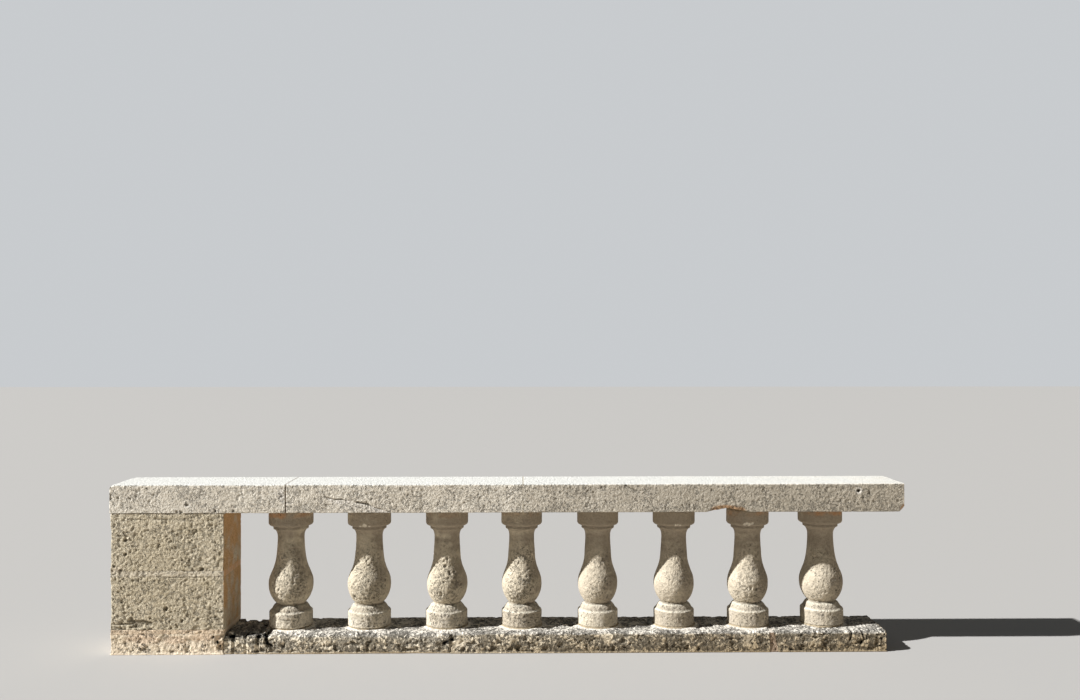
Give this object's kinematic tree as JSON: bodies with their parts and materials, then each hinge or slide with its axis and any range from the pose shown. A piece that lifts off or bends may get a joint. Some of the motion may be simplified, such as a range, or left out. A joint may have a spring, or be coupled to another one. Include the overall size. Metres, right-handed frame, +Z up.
{
  "type": "stone balustrade",
  "caption": "Weathered stone balustrade: an end pier and turned balusters on a low plinth course, under a plain rail that ends against a wall.",
  "frame": {"origin": "on the ground, under the middle of the rail's length and of the depth", "axes": "+X along the rail from the free end at the pier to the wall end, -Y is the front face, +Z up"},
  "size_m": [4.3, 0.345, 0.916],
  "materials": {
    "rail_stone": "warm grey-beige limestone, finely pitted, near white where the sun has bleached the top",
    "pier_stone": "yellow-beige limestone, coarsely pitted by the weather",
    "plinth_stone": "grey-brown limestone, very rough and worn round",
    "baluster_stone": "warm beige limestone, turned, with pitted patches",
    "pale_mortar": "pale sandy lime mortar",
    "pink_mortar": "pinkish lime mortar",
    "grey_mortar": "grey-brown mortar, worn flush with the plinth stones",
    "dark_mortar": "dark, dirty, purple-brown mortar"
  },
  "bodies": {
    "root": {"pier_base": "plinth_stone", "pier_base_joint": "pink_mortar", "pier_lower_block": "pier_stone", "pier_bed_joint": "pale_mortar", "pier_upper_block": "pier_stone", "pier_top_joint": "pale_mortar", "plinth_filler": "plinth_stone", "plinth_stone_1": "plinth_stone", "plinth_joint_1": "grey_mortar", "plinth_stone_2": "plinth_stone", "plinth_joint_2": "dark_mortar", "plinth_stone_3": "plinth_stone", "baluster_1": "baluster_stone", "baluster_2": "baluster_stone", "baluster_3": "baluster_stone", "baluster_4": "baluster_stone", "baluster_5": "baluster_stone", "baluster_6": "baluster_stone", "baluster_7": "baluster_stone", "baluster_8": "baluster_stone", "foot_bed_1": "pale_mortar", "foot_bed_2": "pale_mortar", "foot_bed_3": "pale_mortar", "foot_bed_4": "pale_mortar", "foot_bed_5": "pale_mortar", "foot_bed_6": "pale_mortar", "foot_bed_7": "pale_mortar", "foot_bed_8": "pale_mortar", "head_bed_1": "pale_mortar", "head_bed_2": "pale_mortar", "head_bed_3": "pale_mortar", "head_bed_4": "pale_mortar", "head_bed_5": "pale_mortar", "head_bed_6": "pale_mortar", "head_bed_7": "pale_mortar", "head_bed_8": "pale_mortar", "rail_end_stone": "rail_stone", "rail_joint_1": "dark_mortar", "rail_middle_stone": "rail_stone", "rail_joint_2": "pale_mortar", "rail_wall_stone": "rail_stone"}
  },
  "joints": []
}
